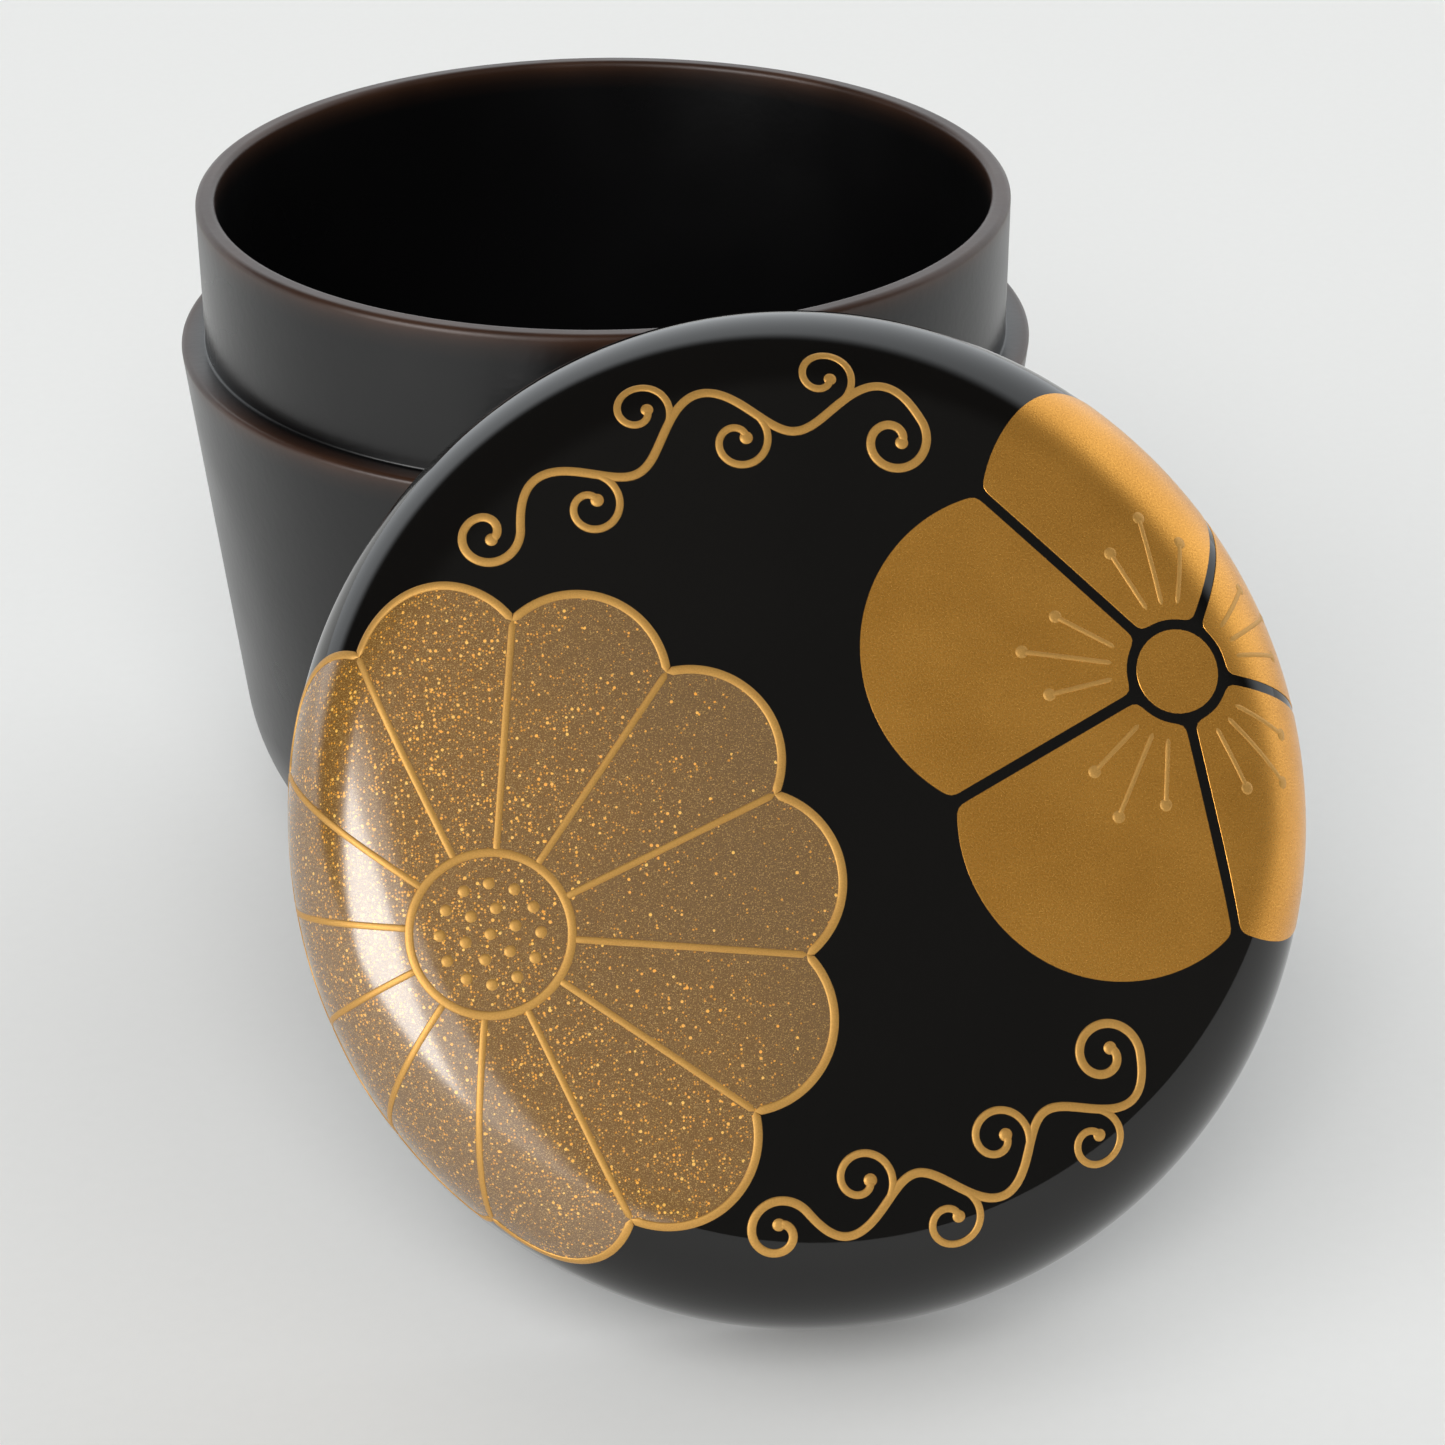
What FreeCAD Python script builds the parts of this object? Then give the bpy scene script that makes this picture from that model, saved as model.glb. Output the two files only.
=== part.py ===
import FreeCAD, Part
import math
import os
import Sketcher

# Natsume tea caddy: a turned jar with a fitted collar, and its lid, taken off and
# leaned against the collar. The jar stands on its foot, centred on the origin, +Z up.
# All lengths are in millimetres and all angles in degrees.

SIZES = [
    # Jar, outside
    ("seam_radius", 33.0, "outer radius of jar and lid where they meet"),
    ("seam_height", 44.0, "height of the ledge that the lid sits on"),
    ("seam_ease", 0.25, "bevel of the ledge's outer edge"),
    ("belly_height", 14.0, "height at which the straight side turns into the belly"),
    ("side_taper", 3.1, "how much narrower the side is there than at the ledge"),
    ("foot_inset", 8.3, "how much narrower still the foot ring is"),
    ("foot_height", 1.0, "height of the foot ring"),
    ("foot_flare", 0.4, "how far the foot ring widens upwards"),
    ("foot_width", 1.8, "width of the ring that touches the table"),
    ("foot_recess", 0.9, "depth of the hollow inside the ring"),
    # Jar, collar and inside
    ("ledge_width", 1.9, "width of the ledge round the collar"),
    ("collar_height", 11.2, "height of the collar above the ledge"),
    ("collar_wall", 1.5, "thickness of the collar"),
    ("lip_ease", 0.4, "bevel of both edges of the lip"),
    ("throat_depth", 23.2, "straight part of the bore, down from the lip"),
    ("belly_wall", 2.0, "wall at the height where the side turns"),
    ("floor_inset", 3.6, "how much narrower the flat inner floor is than the foot ring"),
    ("floor_thickness", 2.3, "wood between the inner floor and the recess"),
    # Lid
    ("collar_headroom", 6.5, "room between the lip and the closed lid's ceiling"),
    ("dome_arc", 280.0, "radius of the slightly domed top"),
    ("shoulder_arc", 8.0, "radius of the lid's shoulder"),
    ("lid_clearance", 0.15, "play between the collar and the lid's bore"),
    ("lid_top", 3.2, "thickness of the lid at its centre"),
    ("lid_corner", 3.6, "slope inside the lid, between wall and top"),
    ("rim_lead", 0.3, "bevel of the rim's inner edge, which finds the collar"),
    # How the lid leans
    ("touch_drop", 2.14, "how far below the lip the rim meets the collar"),
    ("touch_angle", 7.0, "place on the rim that meets the collar, from its top"),
    ("lean_clearance", 0.2, "play between the rim and the collar"),
]

doc = FreeCAD.newDocument("natsume")
sheet = doc.addObject("Spreadsheet::Sheet", "Sizes")
for row, (name, number, note) in enumerate(SIZES, start=1):
    sheet.set("A%d" % row, name)
    sheet.set("B%d" % row, str(number))
    sheet.set("C%d" % row, note)
    sheet.setAlias("B%d" % row, name)
doc.recompute()

# Heights and radii that follow from the sheet
BELLY = "Sizes.seam_radius - Sizes.side_taper"
BELLY_INSIDE = BELLY + " - Sizes.belly_wall"
FOOT = BELLY + " - Sizes.foot_inset"
FOOT_INSIDE = FOOT + " - Sizes.foot_width"
FOOT_TOP = FOOT + " + Sizes.foot_flare"
FLOOR = "Sizes.foot_recess + Sizes.floor_thickness"
FLOOR_EDGE = FOOT + " - Sizes.floor_inset"
COLLAR = "Sizes.seam_radius - Sizes.ledge_width"
MOUTH = "Sizes.seam_height + Sizes.collar_height"
BORE = COLLAR + " - Sizes.collar_wall"
THROAT_END = MOUTH + " - Sizes.throat_depth"
LID_BORE = COLLAR + " + Sizes.lid_clearance"
LID_CEILING = "Sizes.collar_height + Sizes.collar_headroom"
LID_HEIGHT = LID_CEILING + " + Sizes.lid_top"


def value(formula):
    """The number that a formula in the sheet's names stands for."""
    result = sheet.evalExpression(formula)
    return float(getattr(result, "Value", result))


def spot_of(corner):
    """A corner's place, whose coordinates are formulas or plain numbers."""
    return tuple(value(place) if isinstance(place, str) else place for place in corner)


def line_between(start, end):
    return Part.LineSegment(*[FreeCAD.Vector(x, y, 0) for x, y in (start, end)])


def arc_between(centre, start, end):
    """The shorter arc about the centre from start to end."""
    toward = [(a + b) / 2 - c for a, b, c in zip(start, end, centre)]
    stretch = math.dist(centre, start) / math.hypot(*toward)
    middle = (centre[0] + stretch * toward[0], centre[1] + stretch * toward[1])
    return Part.Arc(*[FreeCAD.Vector(x, y, 0) for x, y in (start, middle, end)])


def add_outline(sketch, spots, centres):
    """Draws the closed outline and returns which end of each edge comes first and last."""
    order = []
    for edge, start in enumerate(spots):
        end = spots[(edge + 1) % len(spots)]
        if edge in centres:
            sketch.addGeometry(arc_between(centres[edge], start, end), False)
        else:
            sketch.addGeometry(line_between(start, end), False)
        first, last = [(p.x, p.y) for p in (sketch.getPoint(edge, 1), sketch.getPoint(edge, 2))]
        forward = math.dist(first, start) < math.dist(last, start)
        order.append((1, 2) if forward else (2, 1))
    return order


def tie(sketch, constraint, formula):
    """Adds a constraint whose size follows a formula in the sheet's names."""
    number = sketch.addConstraint(constraint)
    sketch.setExpression("Constraints[%d]" % number, formula)


def section_sketch(body, name, corners, centres, smooth):
    """A closed section through the body's axis, with its corners tied to the sheet.

    A corner's coordinate is a formula, or a number where smoothness settles it. The
    edge that leaves a corner is straight unless centres gives the middle of its arc,
    and smooth lists the edges that run on smoothly from the edge before.
    """
    sketch = body.newObject("Sketcher::SketchObject", name)
    planes = [f for f in body.Origin.OriginFeatures if f.Role == "XZ_Plane"]
    sketch.AttachmentSupport = [(planes[0], "")]
    sketch.MapMode = "FlatFace"
    order = add_outline(sketch, [spot_of(corner) for corner in corners], centres)
    for edge, corner in enumerate(corners):
        kind = "Tangent" if edge in smooth else "Coincident"
        begin = order[edge][0]
        before = (edge - 1) % len(corners)
        sketch.addConstraint(Sketcher.Constraint(kind, before, order[before][1], edge, begin))
        for direction, axis, place in zip(("DistanceX", "DistanceY"), (-2, -1), corner):
            if place == 0:
                sketch.addConstraint(Sketcher.Constraint("PointOnObject", edge, begin, axis))
            elif isinstance(place, str):
                size = Sketcher.Constraint(direction, -1, 1, edge, begin, value(place))
                tie(sketch, size, place)
    return sketch


def turn_section(body, sketch, name):
    """Turns the section a full round about the body's axis."""
    doc.recompute()
    turned = body.newObject("PartDesign::Revolution", name)
    turned.Profile = sketch
    turned.ReferenceAxis = (sketch, ["V_Axis"])
    turned.Angle = 360.0
    body.Tip = turned
    doc.recompute()
    return turned


def bevel_rings(body, base, name, rings, formula):
    """Bevels the circular edges that lie at the given radii and heights."""
    near = value(formula) / 2
    found = []
    for number, edge in enumerate(base.Shape.Edges, start=1):
        if edge.Closed and not edge.Degenerated:
            point = edge.Vertexes[0].Point
            place = (math.hypot(point.x, point.y), point.z)
            if min(math.dist(place, spot_of(ring)) for ring in rings) < near:
                found.append("Edge%d" % number)
    beveled = body.newObject("PartDesign::Chamfer", name)
    beveled.Base = (base, found)
    beveled.setExpression("Size", formula)
    body.Tip = beveled
    doc.recompute()
    return beveled


def belly_centre():
    """Centre of the arc that leaves the straight side smoothly and ends at the foot."""
    belly, seam, foot = [spot_of(corner) for corner in (
        (BELLY, "Sizes.belly_height"), ("Sizes.seam_radius", "Sizes.seam_height"),
        (FOOT_TOP, "Sizes.foot_height"))]
    inward = (belly[1] - seam[1], seam[0] - belly[0])
    chord = (foot[0] - belly[0], foot[1] - belly[1])
    along = chord[0] * inward[0] + chord[1] * inward[1]
    share = (chord[0] ** 2 + chord[1] ** 2) / (2 * along)
    return (belly[0] + share * inward[0], belly[1] + share * inward[1])


def make_jar():
    """The jar: foot ring, belly, straight side, ledge, collar and the bore inside them."""
    corners = [
        (0, "Sizes.foot_recess"),
        (FOOT_INSIDE, "Sizes.foot_recess"),
        (FOOT_INSIDE, 0),
        (FOOT, 0),
        (FOOT_TOP, "Sizes.foot_height"),
        (BELLY, "Sizes.belly_height"),
        ("Sizes.seam_radius", "Sizes.seam_height"),
        (COLLAR, "Sizes.seam_height"),
        (COLLAR, MOUTH),
        (BORE, MOUTH),
        (BORE, THROAT_END),
        (BELLY_INSIDE, "Sizes.belly_height"),
        (FLOOR_EDGE, FLOOR),
        (0, FLOOR),
    ]
    belly_edge = corners.index((FOOT_TOP, "Sizes.foot_height"))
    side_edge = belly_edge + 1
    jar = doc.addObject("PartDesign::Body", "jar")
    jar.Label = "jar"
    section = section_sketch(jar, "jar_section", corners,
                             {belly_edge: belly_centre()}, [side_edge])
    turned = turn_section(jar, section, "turned_jar")
    eased = bevel_rings(jar, turned, "eased_ledge",
                        [("Sizes.seam_radius", "Sizes.seam_height")], "Sizes.seam_ease")
    bevel_rings(jar, eased, "eased_lip",
                [(COLLAR, MOUTH), (BORE, MOUTH)], "Sizes.lip_ease")
    return jar


def make_lid():
    """The lid: domed top, round shoulder and a straight skirt that slips over the collar."""
    dome_height = value(LID_HEIGHT + " - Sizes.dome_arc")
    dome_arc = value("Sizes.dome_arc")
    inset = value("Sizes.seam_radius - Sizes.shoulder_arc")
    reach = value("Sizes.dome_arc - Sizes.shoulder_arc")
    rise = math.sqrt(reach ** 2 - inset ** 2)
    shoulder_height = dome_height + rise
    meeting = (inset * dome_arc / reach, dome_height + rise * dome_arc / reach)
    corners = [
        (0, LID_CEILING),
        (LID_BORE + " - Sizes.lid_corner", LID_CEILING),
        (LID_BORE, LID_CEILING + " - Sizes.lid_corner"),
        (LID_BORE, 0),
        ("Sizes.seam_radius", 0),
        ("Sizes.seam_radius", shoulder_height),
        meeting,
        (0, LID_HEIGHT),
    ]
    shoulder_edge = corners.index(("Sizes.seam_radius", shoulder_height))
    dome_edge = shoulder_edge + 1
    lid = doc.addObject("PartDesign::Body", "lid")
    lid.Label = "lid"
    section = section_sketch(
        lid, "lid_section", corners,
        {shoulder_edge: (inset, shoulder_height), dome_edge: (0, dome_height)},
        [shoulder_edge, dome_edge])
    for edge, formula in ((shoulder_edge, "Sizes.shoulder_arc"), (dome_edge, "Sizes.dome_arc")):
        tie(section, Sketcher.Constraint("Radius", edge, value(formula)), formula)
    section.addConstraint(Sketcher.Constraint("PointOnObject", dome_edge, 3, -2))
    turned = turn_section(lid, section, "turned_lid")
    bevel_rings(lid, turned, "rim_lead_in", [(LID_BORE, 0)], "Sizes.rim_lead")
    lid.Placement = lean_placement()
    return lid


def lean_placement():
    """The lid stands on its rim and leans back until the rim comes near the collar.

    The slope of its axis follows from the height at which they meet. The rim, seen from
    above, is an ellipse. The place where it meets the round collar has the same
    direction outwards on both, which settles where its middle lies.
    """
    rim = value("Sizes.seam_radius")
    turn = -math.radians(value("Sizes.touch_angle"))
    reach = rim + rim * math.cos(turn)
    slope = math.acos(value(MOUTH + " - Sizes.touch_drop") / reach)
    outward = FreeCAD.Vector(math.sin(slope) * math.sin(turn), math.cos(turn), 0).normalize()
    meeting = outward * -value(COLLAR + " + Sizes.lean_clearance")
    middle = meeting - FreeCAD.Vector(rim * math.sin(turn),
                                      rim * math.sin(slope) * math.cos(turn),
                                      -rim * math.cos(slope))
    axis = FreeCAD.Vector(0, -math.cos(slope), math.sin(slope))
    return FreeCAD.Placement(middle, FreeCAD.Rotation(FreeCAD.Vector(0, 0, 1), axis))


pieces = [make_jar(), make_lid()]
doc.recompute()

for thing in doc.Objects:
    if "Invalid" in thing.State or "Error" in thing.State:
        raise RuntimeError("%s did not compute: %s" % (thing.Name, thing.State))
for piece in pieces:
    if piece.Shape.isNull() or not piece.Shape.isValid():
        raise RuntimeError("%s has no valid shape" % piece.Label)

os.makedirs("parts", exist_ok=True)
for piece in pieces:
    piece.Shape.exportStep("parts/%s.step" % piece.Label)
    print(piece.Label, round(piece.Shape.Volume), "cubic millimetres")
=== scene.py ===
import math

import bpy
from mathutils import Matrix, Vector
from mathutils.geometry import delaunay_2d_cdt


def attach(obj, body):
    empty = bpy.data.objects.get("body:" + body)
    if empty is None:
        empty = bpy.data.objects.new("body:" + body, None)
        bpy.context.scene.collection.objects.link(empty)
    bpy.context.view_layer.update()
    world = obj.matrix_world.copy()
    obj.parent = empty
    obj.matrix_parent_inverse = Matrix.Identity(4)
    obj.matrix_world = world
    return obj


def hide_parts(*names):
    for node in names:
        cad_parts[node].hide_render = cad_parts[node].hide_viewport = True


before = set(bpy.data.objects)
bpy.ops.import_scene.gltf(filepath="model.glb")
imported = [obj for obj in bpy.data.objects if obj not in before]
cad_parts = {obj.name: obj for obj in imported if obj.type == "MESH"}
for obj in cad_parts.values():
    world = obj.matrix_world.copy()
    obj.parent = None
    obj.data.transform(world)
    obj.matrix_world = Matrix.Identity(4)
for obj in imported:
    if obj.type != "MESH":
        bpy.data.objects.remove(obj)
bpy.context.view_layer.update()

# Natsume tea caddy, open: a turned and lacquered jar, and its lid leaning on it.
# Lengths are in millimetres and angles in degrees, unless a name says otherwise.
MM = 0.001

# How finely pieces are turned, and how far the wear of a corner reaches and how it fades
TURNS = 288
FACET = 2.5
CORNER_STEPS = 6
WEAR_REACH = (0.35, 0.9, 1.8)
WEAR_SHARES = (0.55, 0.2, 0.0)
SAME_SPOT = 1e-6

# Jar
SEAM_RADIUS = 33.0
SEAM_HEIGHT = 44.0
SEAM_EASE = 0.45
BELLY_RADIUS = 29.9
BELLY_HEIGHT = 14.0
FOOT_RADIUS = 21.6
FOOT_HEIGHT = 1.0
FOOT_FLARE = 0.4
FOOT_WIDTH = 1.8
FOOT_RECESS = 0.9
FOOT_EASE = 0.35
COLLAR_RADIUS = 31.1
MOUTH_HEIGHT = 55.2
BORE_RADIUS = 29.6
LIP_EASE = 0.5
THROAT_END = 32.0
BELLY_INSIDE = 27.9
FLOOR_EDGE = 18.0
FLOOR_HEIGHT = 3.2
HOLLOW_EASE = 5.0
NOOK_EASE = 0.2

# Lid, in its own frame: the rim's middle at the origin and the top along +Z
LID_HEIGHT = 20.9
DOME_ARC = 280.0
SHOULDER_ARC = 8.0
LID_BORE = 31.25
LID_CEILING = 17.7
LID_CORNER = 3.6
RIM_EASE = 0.35
CEILING_EASE = 1.4
COAT = 0.1
LEAN_SLOPE = 36.2013
LID_PLACE = (6.2860, -50.5633, 26.6296)

# Ornament, as it would lie unrolled from the lid's pole, x to the right and y up
UNROLLED = 100.0
FIELD_LIFT = 0.05
SKIRT_DEPTH = 0.04
LATTICE = 0.7
LINE_STEP = 0.3
LINE_WIDTH = 0.58
LINE_LIFT = 0.095
PLANT_STEP = 0.35
PETAL_ROOT_STEPS = 8
CURL_STEP = 0.2
CURL_WOUND = 400
CURL_TIGHTENED = 0.74
ROOT_CURL = 2.2
TAIL_CURL = 2.3
SHOOT_CURL = 2.1
SHOOT_WIDTH = LINE_WIDTH * 0.85
BUD_RADIUS = LINE_WIDTH * 0.75
AIM_SHARE = 0.001
SHOOT_SHIFT = 0.06
LINE_END_LEAST = 0.02

# Sections of a line and of a bead: how far out, and how high, or None at the skirt's foot
LINE_SECTION = ((-1.0, None), (-0.92, 0.6), (-0.7, 0.93), (0.0, 1.0),
                (0.7, 0.93), (0.92, 0.6), (1.0, None))
BEAD_SECTION = ((1.0, None), (0.86, 0.5), (0.5, 0.87))
BEAD_SIDES = 14

# The two flowers, each with what is drawn on it
CHRYSANTHEMUM = {"middle": (-21.0, -7.0), "tip": 22.0, "petal": 5.6, "petals": 12,
                 "turn": 7.0, "hub": 5.0}
RAY_WIDTH = LINE_WIDTH * 0.8
SEED_RINGS = ((0.0, 1), (1.6, 6), (3.1, 12))
SEED_TWIST = 9
SEED_RADIUS = 0.42
PLUM = {"middle": (23.5, 6.5), "tip": 20.5, "petal": 10.4, "petals": 5,
        "turn": 98.0, "hub": 3.4, "slit": 0.7}
STAMENS = ((-17, 8.6), (0, 10.2), (17, 8.6))
STAMEN_ROOT = 0.9
STAMEN_GATHERED = 0.8
STAMEN_WIDTH = LINE_WIDTH * 0.6
ANTHER_RADIUS = LINE_WIDTH * 0.85


def run_between(start, end, centre):
    """A straight run, or an arc about centre: its length, its turn, and what lies along it."""
    if centre is None:
        length = math.dist(start, end)
        heading = ((end[0] - start[0]) / length, (end[1] - start[1]) / length)

        def along(d):
            return (start[0] + heading[0] * d, start[1] + heading[1] * d), heading
        return length, 0.0, along
    radius = math.dist(centre, start)
    first = math.atan2(start[1] - centre[1], start[0] - centre[0])
    last = math.atan2(end[1] - centre[1], end[0] - centre[0])
    turn = (last - first + math.pi) % (2 * math.pi) - math.pi
    side = math.copysign(1, turn)

    def along(d):
        angle = first + side * d / radius
        place = (centre[0] + radius * math.cos(angle), centre[1] + radius * math.sin(angle))
        return place, (-side * math.sin(angle), side * math.cos(angle))
    return abs(turn) * radius, math.degrees(abs(turn)), along


def stops_on(length, turn, cuts, worn):
    """Where a run gets its rings: close together on an arc and near a worn corner."""
    low, high = cuts[0], length - cuts[1]
    count = max(1, math.ceil(turn / FACET))
    stops = {low + (high - low) * step / count: 0.0 for step in range(count + 1)}
    for near, sign, is_worn in ((low, 1, worn[0]), (high, -1, worn[1])):
        if is_worn:
            stops[near] = 1.0
            for reach, share in zip(WEAR_REACH, WEAR_SHARES):
                if reach < (high - low) / 2:
                    stops[near + sign * reach] = share
    return sorted(stops.items())


def profile(corners):
    """Rings from axis to axis, each a radius, height, outward normal and wear.

    A corner is its radius, height and easing, the centre of the arc that leaves it or
    None, and whether its lacquer is worn thin.
    """
    places = [(c[0], c[1]) for c in corners]
    runs = [run_between(places[i], places[i + 1], corners[i][3]) for i in range(len(corners) - 1)]
    rings = []
    for number, (length, turn, along) in enumerate(runs):
        here, there = corners[number], corners[number + 1]
        for stop, wear in stops_on(length, turn, (here[2], there[2]), (here[4], there[4])):
            (radius, height), heading = along(stop)
            if rings and math.dist(rings[-1][:2], (radius, height)) < SAME_SPOT:
                continue
            rings.append((radius, height, heading[1], -heading[0], wear))
        if there[2] > 0:
            before, _ = along(length - there[2])
            after, _ = runs[number + 1][2](there[2])
            rings += corner_rings(before, places[number + 1], after, float(there[4]))
    return rings


def corner_rings(before, corner, after, wear):
    """Rings on the smooth curve that eases a corner, without its two ends."""
    rings = []
    for step in range(1, CORNER_STEPS):
        t = step / CORNER_STEPS
        weights = ((1 - t) ** 2, 2 * t * (1 - t), t * t)
        place = [sum(w * p[i] for w, p in zip(weights, (before, corner, after))) for i in (0, 1)]
        slide = [(1 - t) * (corner[i] - before[i]) + t * (after[i] - corner[i]) for i in (0, 1)]
        size = math.hypot(*slide)
        rings.append((*place, slide[1] / size, -slide[0] / size, wear))
    return rings


def new_piece(name, places, faces, normals, matrix, body, material):
    """A mesh piece in the row frame, smooth, with given normals, riding on its body."""
    mesh = bpy.data.meshes.new(name)
    spots = [matrix @ (Vector(p) * MM) for p in places]
    mesh.from_pydata(spots, [], faces)
    mesh.polygons.foreach_set("use_smooth", [True] * len(faces))
    mesh.update()
    if normals:
        turned = matrix.to_3x3()
        mesh.normals_split_custom_set_from_vertices([turned @ Vector(n) for n in normals])
    piece = bpy.data.objects.new(name, mesh)
    bpy.context.scene.collection.objects.link(piece)
    mesh.materials.append(material)
    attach(piece, body)
    return piece


def turned_piece(name, corners, matrix, body, material):
    """Turns a profile about its axis. Its rings carry their wear as an attribute."""
    rings = profile(corners)
    places, normals, wear, starts = [], [], [], []
    for radius, height, out, up, thin in rings:
        starts.append(len(places))
        count = 1 if radius < SAME_SPOT else TURNS
        for step in range(count):
            angle = 2 * math.pi * step / TURNS
            c, s = math.cos(angle), math.sin(angle)
            places.append((radius * c, radius * s, height))
            normals.append((out * c, out * s, up))
            wear.append(thin)
    single = [b - a == 1 for a, b in zip(starts, starts[1:] + [len(places)])]
    faces = []
    for ring in range(len(rings) - 1):
        low, high = starts[ring], starts[ring + 1]
        for step in range(TURNS):
            after = (step + 1) % TURNS
            if single[ring]:
                faces.append((low, high + after, high + step))
            elif single[ring + 1]:
                faces.append((low + step, low + after, high))
            else:
                faces.append((low + step, low + after, high + after, high + step))
    piece = new_piece(name, places, faces, normals, matrix, body, material)
    thinness = piece.data.attributes.new("wear", "FLOAT", "POINT")
    thinness.data.foreach_set("value", wear)
    return piece


def belly_centre():
    """Centre of the arc that leaves the straight side smoothly and ends at the foot."""
    inward = (BELLY_HEIGHT - SEAM_HEIGHT, SEAM_RADIUS - BELLY_RADIUS)
    chord = (FOOT_RADIUS + FOOT_FLARE - BELLY_RADIUS, FOOT_HEIGHT - BELLY_HEIGHT)
    along = chord[0] * inward[0] + chord[1] * inward[1]
    share = (chord[0] ** 2 + chord[1] ** 2) / (2 * along)
    return (BELLY_RADIUS + share * inward[0], BELLY_HEIGHT + share * inward[1])


JAR_CORNERS = [
    (0, FOOT_RECESS, 0, None, False),
    (FOOT_RADIUS - FOOT_WIDTH, FOOT_RECESS, NOOK_EASE, None, False),
    (FOOT_RADIUS - FOOT_WIDTH, 0, FOOT_EASE, None, True),
    (FOOT_RADIUS, 0, FOOT_EASE, None, True),
    (FOOT_RADIUS + FOOT_FLARE, FOOT_HEIGHT, FOOT_EASE, belly_centre(), False),
    (BELLY_RADIUS, BELLY_HEIGHT, 0, None, False),
    (SEAM_RADIUS, SEAM_HEIGHT, SEAM_EASE, None, True),
    (COLLAR_RADIUS, SEAM_HEIGHT, NOOK_EASE, None, False),
    (COLLAR_RADIUS, MOUTH_HEIGHT, LIP_EASE, None, True),
    (BORE_RADIUS, MOUTH_HEIGHT, LIP_EASE, None, True),
    (BORE_RADIUS, THROAT_END, HOLLOW_EASE, None, False),
    (BELLY_INSIDE, BELLY_HEIGHT, HOLLOW_EASE, None, False),
    (FLOOR_EDGE, FLOOR_HEIGHT, HOLLOW_EASE, None, False),
    (0, FLOOR_HEIGHT, 0, None, False),
]

# The lid's outside, which its ornament follows too
DOME_HEIGHT = LID_HEIGHT - DOME_ARC
SHOULDER_RADIUS = SEAM_RADIUS - SHOULDER_ARC
SHOULDER_TURN = math.asin(SHOULDER_RADIUS / (DOME_ARC - SHOULDER_ARC))
SHOULDER_HEIGHT = DOME_HEIGHT + (DOME_ARC - SHOULDER_ARC) * math.cos(SHOULDER_TURN)
DOME_REACH = DOME_ARC * SHOULDER_TURN
SHOULDER_REACH = DOME_REACH + SHOULDER_ARC * (math.pi / 2 - SHOULDER_TURN)


def lid_ring(reach, lift):
    """Radius, height and normal on the lid's outside, at a reach along it from the pole."""
    if reach > SHOULDER_REACH:
        height = SHOULDER_HEIGHT - (reach - SHOULDER_REACH)
        return SEAM_RADIUS + lift, height, (1.0, 0.0)
    if reach <= DOME_REACH:
        centre, arc, angle = (0, DOME_HEIGHT), DOME_ARC, reach / DOME_ARC
    else:
        centre, arc = (SHOULDER_RADIUS, SHOULDER_HEIGHT), SHOULDER_ARC
        angle = SHOULDER_TURN + (reach - DOME_REACH) / SHOULDER_ARC
    out, up = math.sin(angle), math.cos(angle)
    return centre[0] + (arc + lift) * out, centre[1] + (arc + lift) * up, (out, up)


def on_lid(x, y, lift):
    """Place and normal on the lid, for a place in the unrolled ornament."""
    reach = math.hypot(x, y)
    radius, height, (out, up) = lid_ring(reach, lift - COAT)
    c, s = (x / reach, y / reach) if reach > 0 else (1, 0)
    return (radius * c, radius * s, height), (out * c, out * s, up)


def lid_corners():
    """The lid's profile, its outside lowered by the coat that the ornament may fill."""
    seam = lid_ring(SHOULDER_REACH, -COAT)[:2]
    meeting = lid_ring(DOME_REACH, -COAT)[:2]
    return [
        (0, LID_CEILING, 0, None, False),
        (LID_BORE - LID_CORNER, LID_CEILING, CEILING_EASE, None, False),
        (LID_BORE, LID_CEILING - LID_CORNER, CEILING_EASE, None, False),
        (LID_BORE, 0, RIM_EASE, None, True),
        (SEAM_RADIUS - COAT, 0, RIM_EASE, None, True),
        (*seam, 0, (SHOULDER_RADIUS, SHOULDER_HEIGHT), False),
        (*meeting, 0, (0, DOME_HEIGHT), False),
        (0, LID_HEIGHT - COAT, 0, None, False),
    ]


def lean_matrix():
    """Stands the lid on its rim, leaning back on the jar."""
    turn = Matrix.Rotation(math.radians(90 - LEAN_SLOPE), 4, "X")
    return Matrix.Translation(Vector(LID_PLACE) * MM) @ turn


def polar(reach, degrees, middle=(0.0, 0.0)):
    angle = math.radians(degrees)
    return (middle[0] + reach * math.cos(angle), middle[1] + reach * math.sin(angle))


def divided(path, step, closed=False):
    """The same path with points added, so that none lie much more than a step apart."""
    points = path + path[:1] if closed else list(path)
    spots = [points[0]]
    for start, end in zip(points, points[1:]):
        length = math.dist(start, end)
        count = max(1, round(length / step))
        for number in range(1, count + 1):
            t = number / count
            spots.append(tuple(a + (b - a) * t for a, b in zip(start, end)))
    return spots[:-1] if closed else spots


def rounded(loop, rounds):
    """A closed loop with its corners worn round."""
    for _ in range(rounds):
        loop = [tuple((a + 2 * b + c) / 4 for a, b, c in zip(*trio))
                for trio in zip(loop[-1:] + loop[:-1], loop, loop[1:] + loop[:1])]
    return loop


def inside(spot, loop):
    """Whether a spot lies inside a closed loop."""
    x, y = spot
    crossings = 0
    for (ax, ay), (bx, by) in zip(loop, loop[1:] + loop[:1]):
        if (ay > y) != (by > y) and x < ax + (y - ay) / (by - ay) * (bx - ax):
            crossings += 1
    return crossings % 2 == 1


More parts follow.
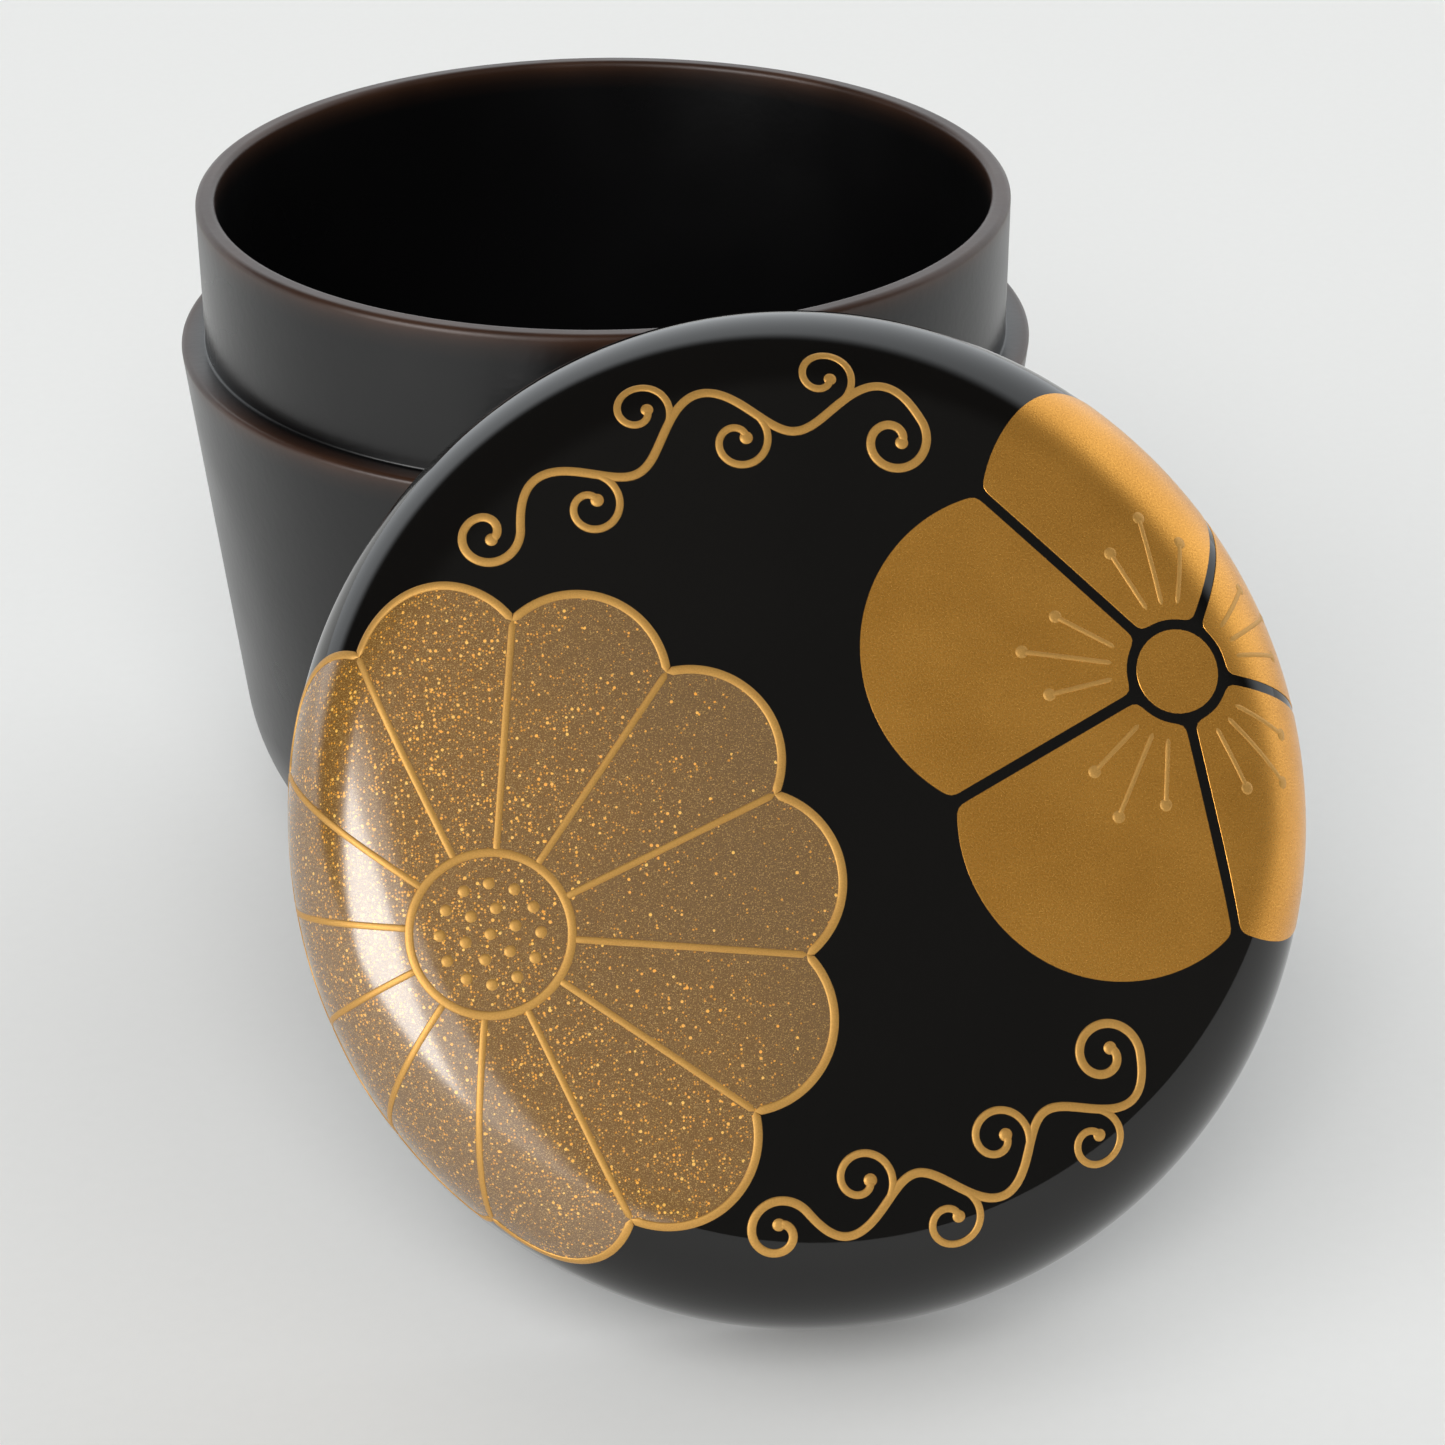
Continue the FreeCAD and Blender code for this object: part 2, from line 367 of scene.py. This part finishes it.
def lattice_in(loop):
    """Evenly spread spots inside a loop, so that a field can follow the curved lid."""
    low = [min(p[i] for p in loop) for i in (0, 1)]
    high = [max(p[i] for p in loop) for i in (0, 1)]
    row_gap = LATTICE * math.sin(math.pi / 3)
    edge = [Vector(p) for p in loop]
    spots = []
    for row in range(int((high[1] - low[1]) / row_gap) + 1):
        for column in range(int((high[0] - low[0]) / LATTICE) + 1):
            spot = (low[0] + (column + row % 2 / 2) * LATTICE, low[1] + row * row_gap)
            if inside(spot, loop):
                near = min((Vector(spot) - e).length_squared for e in edge)
                if near > (LATTICE / 2) ** 2:
                    spots.append(spot)
    return spots


class Relief:
    """Gathers raised ornament of one material into one piece on the lid."""

    def __init__(self):
        self.places, self.faces, self.normals, self.flat = [], [], [], []

    def add(self, spots, lifts, tilts, faces):
        """Adds unrolled spots with their lifts. A tilt leans a normal along the surface."""
        first = len(self.places)
        for spot, lift, tilt in zip(spots, lifts, tilts):
            place, normal = on_lid(*spot, lift)
            if tilt:
                beside = Vector(on_lid(spot[0] + tilt[0], spot[1] + tilt[1], lift)[0])
                normal = (Vector(normal) + (beside - Vector(place))).normalized()
            self.places.append(tuple(place))
            self.normals.append(tuple(normal))
            self.flat.append(spot)
        self.faces += [tuple(first + corner for corner in face) for face in faces]

    def field(self, loop, lift):
        """A flat field inside a loop, with a wall down into the lid."""
        count = len(loop)
        spots = [Vector(p) for p in loop + lattice_in(loop)]
        made, _, faces, *_ = delaunay_2d_cdt(spots, [], [list(range(count))], 1, 1e-5)
        flat = [tuple(p) for p in made]
        up = []
        for a, b, c in faces:
            (ax, ay), (bx, by), (cx, cy) = flat[a], flat[b], flat[c]
            ccw = (bx - ax) * (cy - ay) - (by - ay) * (cx - ax) > 0
            up.append((a, b, c) if ccw else (a, c, b))
        self.add(flat, [lift] * len(flat), [None] * len(flat), up)
        area = sum(a[0] * b[1] - b[0] * a[1] for a, b in zip(loop, loop[1:] + loop[:1]))
        side = math.copysign(1, area)
        tilts = []
        for before, after in zip(loop[-1:] + loop[:-1], loop[1:] + loop[:1]):
            dx, dy = after[0] - before[0], after[1] - before[1]
            size = math.hypot(dx, dy)
            tilts.append((side * dy / size, -side * dx / size))
        wall = []
        for here in range(count):
            there = (here + 1) % count
            quad = (here, count + here, count + there, there)
            wall.append(quad if side > 0 else quad[::-1])
        lifts = [lift] * count + [-SKIRT_DEPTH] * count
        self.add(loop * 2, lifts, tilts * 2, wall)

    def line(self, path, width, lift, closed=False):
        """A brushed line: a low flat-topped ridge with round ends."""
        spots = divided(path, LINE_STEP, closed)
        count = len(spots)
        walked = [0.0]
        for start, end in zip(spots, spots[1:]):
            walked.append(walked[-1] + math.dist(start, end))
        rings, lifts = [], []
        for number, (x, y) in enumerate(spots):
            if closed:
                before, after = spots[number - 1], spots[(number + 1) % count]
                share = 1.0
            else:
                before, after = spots[max(number - 1, 0)], spots[min(number + 1, count - 1)]
                end = min(walked[number], walked[-1] - walked[number]) / (width / 2)
                share = math.sqrt(max(LINE_END_LEAST, 1 - max(0.0, 1 - end) ** 2))
            dx, dy = after[0] - before[0], after[1] - before[1]
            size = math.hypot(dx, dy) or 1.0
            nx, ny = -dy / size, dx / size
            for side, height in LINE_SECTION:
                reach = side * share * width / 2
                rings.append((x + nx * reach, y + ny * reach))
                low = -SKIRT_DEPTH if height is None else lift * height * math.sqrt(share)
                lifts.append(low)
        faces = []
        size = len(LINE_SECTION)
        for number in range(count if closed else count - 1):
            here, there = number * size, (number + 1) % count * size
            for step in range(size - 1):
                faces.append((here + step + 1, here + step, there + step, there + step + 1))
        self.add(rings, lifts, [None] * len(rings), faces)

    def dot(self, middle, radius, lift):
        """A small round bead of lacquer."""
        around = BEAD_SIDES
        spots, lifts, faces = [], [], []
        for share, height in BEAD_SECTION:
            for step in range(around):
                spots.append(polar(radius * share, 360 * step / around, middle))
                lifts.append(-SKIRT_DEPTH if height is None else lift * height)
        spots.append(middle)
        lifts.append(lift)
        for ring in range(len(BEAD_SECTION) - 1):
            for step in range(around):
                here, there = ring * around + step, ring * around + (step + 1) % around
                faces.append((here, there, there + around, here + around))
        top = (len(BEAD_SECTION) - 1) * around
        for step in range(around):
            faces.append((top + step, top + (step + 1) % around, top + around))
        self.add(spots, lifts, [None] * len(spots), faces)

    def piece(self, name, material, exact):
        """Makes the piece. Its unrolled places become its UV map."""
        made = new_piece(name, self.places, self.faces, self.normals if exact else None,
                         lean_matrix(), "lid", material)
        layer = made.data.uv_layers.new(name="unrolled")
        for loop in made.data.loops:
            x, y = self.flat[loop.vertex_index]
            layer.data[loop.index].uv = (x / UNROLLED + 0.5, y / UNROLLED + 0.5)
        return made


def petal_arc(flower, number):
    """The round tip of one petal of a flower, from notch to notch."""
    half = 180 / flower["petals"]
    bend = flower["petal"]
    out = flower["tip"] - bend
    slope = math.radians(half)
    notch = out * math.cos(slope) + math.sqrt(bend ** 2 - (out * math.sin(slope)) ** 2)
    swing = math.degrees(math.atan2(notch * math.sin(slope), notch * math.cos(slope) - out))
    heading = flower["turn"] + 2 * half * number
    middle = polar(out, heading, flower["middle"])
    count = math.ceil(2 * swing * math.pi / 180 * bend / PLANT_STEP)
    return [polar(bend, heading - swing + 2 * swing * step / count, middle)
            for step in range(count + 1)]


def notch_reach(flower):
    """How far from a flower's middle the notches between its petals lie."""
    return math.dist(petal_arc(flower, 0)[0], flower["middle"])


def flower_loop(flower):
    """The whole scalloped outline of a flower."""
    loop = []
    for number in range(flower["petals"]):
        loop += petal_arc(flower, number)[:-1]
    return loop


def petal_loop(flower, number):
    """One petal by itself, with bare slits on both sides and round the hub."""
    half = 180 / flower["petals"]
    gap = flower["slit"] / 2
    heading = flower["turn"] + 2 * half * number
    slope = math.radians(half)
    out, bend, hub = flower["tip"] - flower["petal"], flower["petal"], flower["hub"]
    off = (gap * math.sin(slope), -gap * math.cos(slope))
    along = (math.cos(slope), math.sin(slope))
    toward = (off[0] - out) * along[0] + off[1] * along[1]
    rest = (off[0] - out) ** 2 + off[1] ** 2 - bend ** 2
    far = -toward + math.sqrt(toward ** 2 - rest)
    corner = (off[0] + far * along[0], off[1] + far * along[1])
    swing = math.degrees(math.atan2(corner[1], corner[0] - out))
    inner = half - math.degrees(math.asin(gap / hub))
    steps = math.ceil(2 * math.radians(swing) * bend / PLANT_STEP)
    tip = [polar(bend, -swing + 2 * swing * step / steps, (out, 0.0))
           for step in range(steps + 1)]
    root = [polar(hub, inner - 2 * inner * step / PETAL_ROOT_STEPS)
            for step in range(PETAL_ROOT_STEPS + 1)]
    loop = rounded(divided(tip + root, PLANT_STEP, True), 2)
    c, s = math.cos(math.radians(heading)), math.sin(math.radians(heading))
    x0, y0 = flower["middle"]
    return [(x0 + x * c - y * s, y0 + x * s + y * c) for x, y in loop]


def curl(spot, heading, side, radius):
    """A tendril that leaves a spot at a heading and winds up tighter and tighter."""
    path = [spot]
    turned = 0.0
    while turned < CURL_WOUND:
        bend = radius * (1 - CURL_TIGHTENED * turned / CURL_WOUND)
        turned += math.degrees(CURL_STEP / bend)
        heading += side * math.degrees(CURL_STEP / bend)
        path.append(polar(CURL_STEP, heading, path[-1]))
    return path


def vine(made, reach, start, span, sway, bends):
    """A scrolling vine that follows the lid round, with a tendril in each of its bends."""
    def stem(share):
        swing = sway * math.sin(math.pi * bends * share)
        return polar(reach + swing, start + span * share)

    def aim(share):
        (ax, ay), (bx, by) = stem(share - AIM_SHARE), stem(share + AIM_SHARE)
        return math.degrees(math.atan2(by - ay, bx - ax))

    count = math.ceil(math.radians(abs(span)) * reach / CURL_STEP)
    path = [stem(step / count) for step in range(count + 1)]
    turning = 1 if span > 0 else -1
    last = 1 if bends % 2 else -1
    root = curl(path[0], aim(0.0) + 180, turning, ROOT_CURL)
    tail = curl(path[-1], aim(1.0), turning * last, TAIL_CURL)
    made.line(root[:0:-1] + path + tail[1:], LINE_WIDTH, LINE_LIFT)
    made.dot(root[-1], BUD_RADIUS, LINE_LIFT)
    made.dot(tail[-1], BUD_RADIUS, LINE_LIFT)
    for number in range(1, bends):
        share = (number + SHOOT_SHIFT) / bends
        side = turning if number % 2 else -turning
        shoot = curl(stem(share), aim(share), side, SHOOT_CURL)
        made.line(shoot, SHOOT_WIDTH, LINE_LIFT)
        made.dot(shoot[-1], BUD_RADIUS, LINE_LIFT)


# Materials
class Shader:
    """A node material with a Principled shader, and short ways to add nodes to it."""

    def __init__(self, name):
        self.material = bpy.data.materials.new(name)
        self.material.use_nodes = True
        self.tree = self.material.node_tree
        self.surface = self.tree.nodes["Principled BSDF"]

    def add(self, kind, settings=None, **inputs):
        """Adds a node. Inputs are named with _ for a space, and take a value or a socket."""
        node = self.tree.nodes.new("ShaderNode" + kind)
        for name, value in (settings or {}).items():
            setattr(node, name, value)
        for name, value in inputs.items():
            self.feed(node.inputs[name.replace("_", " ")], value)
        return node

    def feed(self, socket, value):
        if isinstance(value, bpy.types.NodeSocket):
            self.tree.links.new(value, socket)
        else:
            socket.default_value = value

    def math(self, operation, first, second, clamp=False):
        node = self.tree.nodes.new("ShaderNodeMath")
        node.operation = operation
        node.use_clamp = clamp
        self.feed(node.inputs[0], first)
        self.feed(node.inputs[1], second)
        return node.outputs[0]

    def mix(self, share, first, second):
        """Mixes two colours."""
        node = self.tree.nodes.new("ShaderNodeMix")
        node.data_type = "RGBA"
        self.feed(node.inputs["Factor"], share)
        self.feed(node.inputs["A"], first)
        self.feed(node.inputs["B"], second)
        return node.outputs["Result"]

    def span(self, value, low, high, to_low=0.0, to_high=1.0):
        """Maps a range smoothly onto another."""
        node = self.add("MapRange", {"interpolation_type": "SMOOTHSTEP"})
        for name, number in (("Value", value), ("From Min", low), ("From Max", high),
                             ("To Min", to_low), ("To Max", to_high)):
            self.feed(node.inputs[name], number)
        return node.outputs[0]

    def noise(self, where, scale, detail=2.0, rough=0.5):
        return self.add("TexNoise", Vector=where, Scale=scale, Detail=detail,
                        Roughness=rough).outputs["Fac"]

    def place(self):
        """The surface's place in metres, in the row frame."""
        return self.add("TexCoord").outputs["Object"]

    def unrolled(self):
        """The place in the unrolled ornament, in millimetres."""
        where = self.add("UVMap", {"uv_map": "unrolled"}).outputs["UV"]
        return self.add("VectorMath", {"operation": "SCALE"}, Vector=where,
                        Scale=UNROLLED).outputs[0]

    def set(self, **inputs):
        for name, value in inputs.items():
            self.feed(self.surface.inputs[name.replace("_", " ")], value)


def colour(red, green, blue):
    return (red, green, blue, 1.0)


def lacquer(name, black, brown, polish, ripple):
    """Black lacquer: deep and glossy, brown where it is worn thin along the edges.

    Polish is the least and the most roughness, and ripple a scale and a strength.
    """
    made = Shader(name)
    where = made.place()
    wear = made.add("Attribute", {"attribute_name": "wear"}).outputs["Fac"]
    cloud = made.noise(where, 90.0, 3.0)
    uneven = made.span(cloud, 0.3, 0.7, 0.6, 1.0)
    thin = made.math("MULTIPLY", wear, uneven, clamp=True)
    deepest = colour(*[part * 0.75 for part in black[:3]])
    depth = made.mix(made.span(made.noise(where, 40.0), 0.35, 0.65), black, deepest)
    handled = made.noise(where, 110.0, 1.5, 0.4)
    gloss = made.span(handled, 0.25, 0.75, polish[0], polish[1])
    fine = made.noise(where, ripple[0], 2.0)
    bump = made.add("Bump", Strength=ripple[1], Distance=0.0002, Height=fine)
    made.set(Base_Color=made.mix(thin, depth, brown), IOR=1.5,
             Roughness=made.math("ADD", gloss, made.math("MULTIPLY", thin, 0.08)),
             Normal=bump.outputs[0])
    return made.material


# Flakes of each size: how many fit in a millimetre, how rare, how wide, and their colours
FLAKES = (
    (10.0, 0.44, 0.45, (0.25, 0.135, 0.034), (0.50, 0.30, 0.085)),
    (5.0, 0.88, 0.40, (0.62, 0.25, 0.020), (0.95, 0.44, 0.050)),
    (2.6, 0.90, 0.28, (1.0, 0.42, 0.04), (1.0, 0.60, 0.12)),
)


def sprinkled_gold():
    """Nashiji: gold flakes strewn in clear amber lacquer, polished flush and glossy."""
    made = Shader("nashiji")
    where = made.unrolled()
    # Painted light: toward the left, where the window's light falls, flakes crowd and the ground
    # is lighter; the drift varies this at random
    drift = made.noise(where, 0.055, 2.0)
    toward_left = made.add("SeparateXYZ", Vector=where).outputs["X"]
    painted_light_and_drift = made.span(toward_left, 8.0, 62.0, 1.0, 0.0)
    painted_light_and_drift = made.math("ADD", painted_light_and_drift, made.span(drift, 0.35, 0.65, -0.22, 0.22), clamp=True)
    dust = made.noise(where, 13.0, 3.0, 0.7)
    fine = made.span(dust, 0.3, 0.72)
    painted_dim_ground = made.mix(fine, colour(0.105, 0.056, 0.015), colour(0.235, 0.127, 0.040))
    painted_lit_ground = made.mix(fine, colour(0.130, 0.059, 0.010), colour(0.290, 0.141, 0.026))
    paint = made.mix(painted_light_and_drift, painted_dim_ground, painted_lit_ground)
    glint, aims = None, None
    for scale, rare, size, deep, bright in FLAKES:
        cells = made.add("TexVoronoi", {"voronoi_dimensions": "2D"}, Vector=where,
                         Scale=scale, Randomness=1.0)
        kind = made.add("SeparateColor", Color=cells.outputs["Color"])
        # Painted light: more flakes show toward the lit left
        chance = made.math("SUBTRACT", rare + 0.09, made.math("MULTIPLY", painted_light_and_drift, 0.27))
        lit = made.math("GREATER_THAN", kind.outputs[0], chance)
        reach = made.math("MULTIPLY_ADD", kind.outputs[1], size * 0.6)
        reach.node.inputs[2].default_value = size * 0.4
        disc = made.math("LESS_THAN", cells.outputs["Distance"], reach)
        flake = made.math("MULTIPLY", lit, disc)
        paint = made.mix(flake, paint, made.mix(kind.outputs[2], colour(*deep), colour(*bright)))
        glint = made.math("MAXIMUM", glint, flake) if glint else flake
        aims = aims or cells.outputs["Color"]
    tilt = made.add("VectorMath", {"operation": "SUBTRACT"}, Vector=aims)
    tilt.inputs[1].default_value = (0.5, 0.5, 0.5)
    lean = made.add("VectorMath", {"operation": "SCALE"}, Vector=tilt.outputs[0], Scale=0.6)
    face = made.add("NewGeometry").outputs["Normal"]
    turned = made.add("VectorMath", {"operation": "ADD"}, Vector=face)
    made.feed(turned.inputs[1], lean.outputs[0])
    aimed = made.add("VectorMath", {"operation": "NORMALIZE"}, Vector=turned.outputs[0])
    made.set(Base_Color=paint, Metallic=made.math("MULTIPLY", glint, 0.15),
             Roughness=made.math("SUBTRACT", 0.62, made.math("MULTIPLY", glint, 0.22)),
             Normal=aimed.outputs[0], Coat_Weight=1.0, Coat_Roughness=0.18, Coat_IOR=2.1,
             Specular_IOR_Level=0.0)
    return made.material


def gold_powder(name, deep, bright, rough, grain, metal):
    """Gold powder rubbed to a satin: warm, fine-grained and softly metallic."""
    made = Shader(name)
    where = made.unrolled()
    speck = made.noise(where, grain, 2.0, 0.65)
    cloud = made.noise(where, 0.14, 3.0)
    tone = made.math("ADD", made.math("MULTIPLY", made.span(speck, 0.25, 0.75), 0.75),
                     made.math("MULTIPLY", made.span(cloud, 0.3, 0.7), 0.25))
    bump = made.add("Bump", Strength=0.25, Distance=0.00004, Height=speck)
    made.set(Base_Color=made.mix(tone, deep, bright), Metallic=metal,
             Roughness=made.span(speck, 0.2, 0.8, rough + 0.06, rough - 0.06),
             Normal=bump.outputs[0])
    return made.material


def paper():
    """The plain pale floor."""
    made = Shader("floor_paper")
    where = made.place()
    fibre = made.noise(where, 900.0, 3.0)
    tone = made.mix(fibre, colour(0.85, 0.85, 0.835), colour(0.87, 0.87, 0.855))
    made.set(Base_Color=tone, Roughness=0.75, Specular_IOR_Level=0.0)
    return made.material


black_jar = lacquer("jar_black", colour(0.0035, 0.0034, 0.0036), colour(0.050, 0.022, 0.012),
                    polish=(0.27, 0.33), ripple=(1500.0, 0.05))
black_lid = lacquer("lid_black", colour(0.0042, 0.0037, 0.0032), colour(0.05, 0.022, 0.012),
                    polish=(0.035, 0.06), ripple=(160.0, 0.012))
nashiji = sprinkled_gold()
field_gold = gold_powder("field_gold", colour(0.56, 0.245, 0.034),
                         colour(0.96, 0.465, 0.086), rough=0.30, grain=8.0, metal=0.76)
line_gold = gold_powder("line_gold", colour(0.54, 0.282, 0.066),
                        colour(0.68, 0.375, 0.097), rough=0.48, grain=9.0, metal=0.6)

# Jar and lid
upright = Matrix.Identity(4)
jar = turned_piece("jar_turned", JAR_CORNERS, upright, "jar", black_jar)
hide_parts("jar")
lid = turned_piece("lid_turned", lid_corners(), lean_matrix(), "lid", black_lid)
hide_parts("lid")

# Ornament on the lid
strewn = Relief()
strewn.field(flower_loop(CHRYSANTHEMUM), FIELD_LIFT / 2)
strewn.piece("chrysanthemum_field", nashiji, True)

lines = Relief()
for number in range(CHRYSANTHEMUM["petals"]):
    lines.line(petal_arc(CHRYSANTHEMUM, number), LINE_WIDTH, LINE_LIFT)
    heading = CHRYSANTHEMUM["turn"] + 360 / CHRYSANTHEMUM["petals"] * (number + 0.5)
    lines.line([polar(CHRYSANTHEMUM["hub"], heading, CHRYSANTHEMUM["middle"]),
                polar(notch_reach(CHRYSANTHEMUM), heading, CHRYSANTHEMUM["middle"])],
               RAY_WIDTH, LINE_LIFT)
hub_ring = [polar(CHRYSANTHEMUM["hub"], step * 6, CHRYSANTHEMUM["middle"]) for step in range(60)]
lines.line(hub_ring, LINE_WIDTH, LINE_LIFT, closed=True)
for ring, count in SEED_RINGS:
    for number in range(count):
        seed = polar(ring, 360 * number / count + ring * SEED_TWIST, CHRYSANTHEMUM["middle"])
        lines.dot(seed, SEED_RADIUS, LINE_LIFT)
vine(lines, reach=25.0, start=134.0, span=-64.0, sway=1.7, bends=5)
vine(lines, reach=25.5, start=263.5, span=54.0, sway=1.6, bends=5)
for number in range(PLUM["petals"]):
    heading = PLUM["turn"] + 360 / PLUM["petals"] * number
    for lean, reach in STAMENS:
        tip = polar(reach, heading + lean, PLUM["middle"])
        foot = heading + lean * STAMEN_GATHERED
        root = polar(PLUM["hub"] + STAMEN_ROOT, foot, PLUM["middle"])
        lines.line([root, tip], STAMEN_WIDTH, LINE_LIFT)
        lines.dot(tip, ANTHER_RADIUS, LINE_LIFT)
lines.piece("gold_lines", line_gold, False)

bloom = Relief()
for number in range(PLUM["petals"]):
    bloom.field(petal_loop(PLUM, number), FIELD_LIFT)
hub_disc = [polar(PLUM["hub"] - PLUM["slit"], step * 10, PLUM["middle"]) for step in range(36)]
bloom.field(hub_disc, FIELD_LIFT)
bloom.piece("plum_field", field_gold, True)

# Camera, at the photograph's viewing angle
CAMERA_PLACE = (-23.909, -245.733, 143.493)
CAMERA_AIM = (0.11682, 0.86853, -0.48168)
camera_data = bpy.data.cameras.new("camera")
camera_data.sensor_width = 36.0
camera_data.lens = 84.106
camera_data.clip_start = 0.01
camera_data.clip_end = 50.0
camera = bpy.data.objects.new("camera", camera_data)
bpy.context.scene.collection.objects.link(camera)
camera.location = Vector(CAMERA_PLACE) * MM
camera.rotation_mode = "QUATERNION"
camera.rotation_quaternion = Vector(CAMERA_AIM).to_track_quat("-Z", "Y")
bpy.context.scene.camera = camera

# Floor
FLOOR_REACH_M = 20.0
floor_corners = [(x * FLOOR_REACH_M, y * FLOOR_REACH_M, 0)
                 for x, y in ((-1, -1), (1, -1), (1, 1), (-1, 1))]
floor_mesh = bpy.data.meshes.new("floor")
floor_mesh.from_pydata(floor_corners, [], [(0, 1, 2, 3)])
floor_mesh.materials.append(paper())
floor = bpy.data.objects.new("floor", floor_mesh)
bpy.context.scene.collection.objects.link(floor)

# Light: where lamps aim, then how the pale wall and the dim room end, and how bright they are
CADDY_MIDDLE_M = (0, -0.03, 0.03)
WALL_SLANT = (0.511, 0.505, -1.0)
WALL_TOP = (-0.53, -0.30)
WALL_FRONT = (-0.15, 0.12)
ROOM_FRONT = (-0.1, -0.5)
WALL_LIGHT = (1.18, 1.23, 1.27)
ROOM_LIGHT = (0.03, 0.03, 0.03)
FRONT_LIGHT = (0.125, 0.125, 0.12)


def toward_light(azimuth, elevation):
    """The direction of a light. Azimuth 0 is in front and 90 to the right."""
    a, e = math.radians(azimuth), math.radians(elevation)
    return Vector((math.sin(a) * math.cos(e), -math.cos(a) * math.cos(e), math.sin(e)))


def lamp_at(data, away, distance):
    """Places a lamp and aims it at the caddy."""
    lamp = bpy.data.objects.new(data.name, data)
    bpy.context.scene.collection.objects.link(lamp)
    lamp.location = away * distance + Vector(CADDY_MIDDLE_M)
    lamp.rotation_mode = "QUATERNION"
    lamp.rotation_quaternion = (-away).to_track_quat("-Z", "Y")
    lamp.visible_camera = False
    return lamp


def soft_light(name, azimuth, elevation, spread, strength):
    """Soft, even light from a wide part of the room, which the gloss doesn't mirror."""
    data = bpy.data.lights.new(name, "SUN")
    data.angle = math.radians(spread)
    data.energy = strength
    lamp = lamp_at(data, toward_light(azimuth, elevation), 2.0)
    lamp.visible_glossy = False


def window(name, azimuth, elevation, distance, width, height, power):
    """Part of the window that the gloss mirrors. The soft lights carry its light.

    Its distance, width and height are in metres, and its power in watts.
    """
    data = bpy.data.lights.new(name, "AREA")
    data.shape = "RECTANGLE"
    data.size = width
    data.size_y = height
    data.energy = power
    lamp = lamp_at(data, toward_light(azimuth, elevation), distance)
    lamp.visible_diffuse = False


window("window", azimuth=-55, elevation=9, distance=0.8, width=0.47, height=0.56, power=3.6)
window("window_curtain", azimuth=-46, elevation=15, distance=0.82, width=0.86, height=0.66,
       power=2.4)
soft_light("daylight", azimuth=-56, elevation=42, spread=50, strength=0.9)
soft_light("ceiling", azimuth=0, elevation=70, spread=80, strength=0.3)
soft_light("front", azimuth=-10, elevation=37, spread=42, strength=1.9)

world = bpy.data.worlds.new("studio")
bpy.context.scene.world = world
world.use_nodes = True
tree = world.node_tree
background = tree.nodes["Background"]


def ramp(value, low, high):
    """Runs smoothly from 0 at low to 1 at high."""
    node = tree.nodes.new("ShaderNodeMapRange")
    node.interpolation_type = "SMOOTHSTEP"
    tree.links.new(value, node.inputs["Value"])
    node.inputs["From Min"].default_value = low
    node.inputs["From Max"].default_value = high
    return node.outputs[0]


def blend(share, first, second):
    """Mixes two colours of light."""
    node = tree.nodes.new("ShaderNodeMix")
    node.data_type = "RGBA"
    tree.links.new(share, node.inputs["Factor"])
    for socket, value in ((node.inputs["A"], first), (node.inputs["B"], second)):
        if isinstance(value, bpy.types.NodeSocket):
            tree.links.new(value, socket)
        else:
            socket.default_value = (*value, 1.0)
    return node.outputs["Result"]


# A pale wall stands behind and to the right, and the room in front and above is dim
direction = tree.nodes.new("ShaderNodeTexCoord").outputs["Generated"]
slant = tree.nodes.new("ShaderNodeVectorMath")
slant.operation = "DOT_PRODUCT"
tree.links.new(direction, slant.inputs[0])
slant.inputs[1].default_value = WALL_SLANT
split = tree.nodes.new("ShaderNodeSeparateXYZ")
tree.links.new(direction, split.inputs[0])
below_top = ramp(slant.outputs["Value"], *WALL_TOP)
behind = ramp(split.outputs["Y"], *WALL_FRONT)
wall = tree.nodes.new("ShaderNodeMath")
wall.operation = "MULTIPLY"
tree.links.new(below_top, wall.inputs[0])
tree.links.new(behind, wall.inputs[1])
room = blend(ramp(split.outputs["Y"], *ROOM_FRONT), ROOM_LIGHT, FRONT_LIGHT)
shade = blend(wall.outputs[0], room, WALL_LIGHT)
tree.links.new(shade, background.inputs["Color"])
background.inputs["Strength"].default_value = 1.0

bpy.context.scene.view_settings.view_transform = "Standard"
